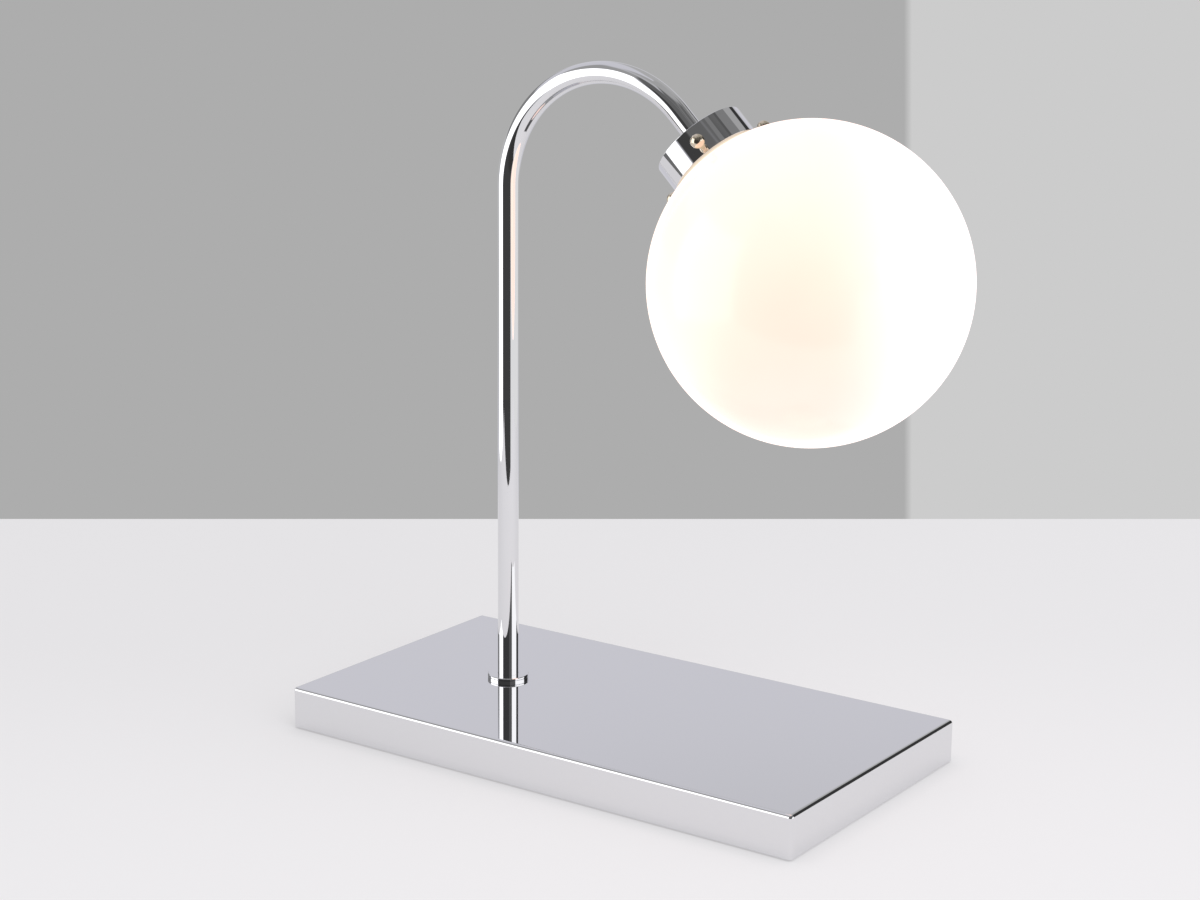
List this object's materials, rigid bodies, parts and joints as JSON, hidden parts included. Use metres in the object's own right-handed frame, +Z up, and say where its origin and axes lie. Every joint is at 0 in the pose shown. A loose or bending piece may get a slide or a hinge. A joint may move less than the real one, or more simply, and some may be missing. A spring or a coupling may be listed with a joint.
{
  "type": "table lamp",
  "caption": "Table lamp: an opal glass globe in a small gallery with thumb screws, on a hooked tubular arm near one end of a flat rectangular weighted base.",
  "frame": {"origin": "on the table, under the middle of the base", "axes": "+Z up; +X along the base from the arm's end towards the globe; the hooked arm lies in the XZ plane; the long face seen in the picture faces -Y"},
  "size_m": [0.3891, 0.186, 0.4038],
  "materials": {
    "chrome": "polished chrome plate",
    "opal_glass": "glossy opal glass",
    "steel_plate": "zinc-plated",
    "soft_pad": "matt",
    "iron": "black painted casting",
    "grommet_rubber": "matt moulded",
    "terminal_plastic": "moulded nylon",
    "brass": "turned",
    "screw_zinc": "bright zinc",
    "lead_insulation": "extruded",
    "silicone": "translucent",
    "nylon": "moulded",
    "holder_plastic": "moulded white",
    "ceramic": "glazed ceramic",
    "bulb_glass": "opal coated",
    "bulb_metal": "nickel plated",
    "bulb_black_glass": "black glass"
  },
  "bodies": {
    "root": {"base_shell": "chrome", "fixing_lugs": "steel_plate", "base_plate": "steel_plate", "plate_screws": "screw_zinc", "base_pad": "soft_pad", "ballast": "iron", "ballast_screws": "screw_zinc", "cord_grommet": "grommet_rubber", "terminal_block": "terminal_plastic", "terminal_inserts": "brass", "terminal_screws": "screw_zinc", "terminal_fixing_screw": "screw_zinc", "arm_tube": "chrome", "foot_collar": "chrome", "base_nipple": "brass", "spreader_washer": "steel_plate", "gallery_nipple": "brass", "arm_lock_washers": "screw_zinc", "arm_nuts": "brass", "internal_leads": "lead_insulation", "gallery_cup": "chrome", "lip_gasket": "silicone", "globe_glass": "opal_glass", "holder_cap": "holder_plastic", "holder_body": "holder_plastic", "holder_core": "ceramic", "holder_posts": "brass", "screw_socket": "brass", "centre_spring": "brass"},
    "bulb": {"bulb_glass": "bulb_glass", "bulb_cap": "bulb_metal", "bulb_insulator": "bulb_black_glass", "bulb_contact": "bulb_metal"},
    "tip_under": {"screw_tip_under": "nylon"},
    "thumb_under": {"thumb_screw_under": "chrome"},
    "tip_back": {"screw_tip_back": "nylon"},
    "thumb_back": {"thumb_screw_back": "chrome"},
    "tip_front": {"screw_tip_front": "nylon"},
    "thumb_front": {"thumb_screw_front": "chrome"}
  },
  "joints": [
    {"name": "bulb_unscrew", "type": "slide", "parent": "root", "child": "bulb", "axis": [0.7071, 0, -0.7071], "range_m": [0, 0.012]},
    {"name": "thumb_under_travel", "type": "slide", "parent": "root", "child": "tip_under", "axis": [-0.7058, 0.061, -0.7058], "range_m": [0, 0.0035]},
    {"name": "thumb_under_turn", "type": "hinge", "parent": "tip_under", "child": "thumb_under", "pos_m": [0.03252, 0.00225, 0.32918], "axis": [-0.7058, 0.061, -0.7058], "range_deg": [0, 1800]},
    {"name": "thumb_back_travel", "type": "slide", "parent": "root", "child": "tip_back", "axis": [0.3903, 0.8339, 0.3903], "range_m": [0, 0.0035]},
    {"name": "thumb_back_turn", "type": "hinge", "parent": "tip_back", "child": "thumb_back", "pos_m": [0.07297, 0.03077, 0.36962], "axis": [0.3903, 0.8339, 0.3903], "range_deg": [0, 1800]},
    {"name": "thumb_front_travel", "type": "slide", "parent": "root", "child": "tip_front", "axis": [0.3155, -0.8949, 0.3155], "range_m": [0, 0.0035]},
    {"name": "thumb_front_turn", "type": "hinge", "parent": "tip_front", "child": "thumb_front", "pos_m": [0.07021, -0.03302, 0.36687], "axis": [0.3155, -0.8949, 0.3155], "range_deg": [0, 1800]}
  ],
  "couplings": [
    {"joint": "thumb_under_turn", "follows": "thumb_under_travel", "rad_per_m": 8976},
    {"joint": "thumb_back_turn", "follows": "thumb_back_travel", "rad_per_m": 8976},
    {"joint": "thumb_front_turn", "follows": "thumb_front_travel", "rad_per_m": 8976}
  ]
}
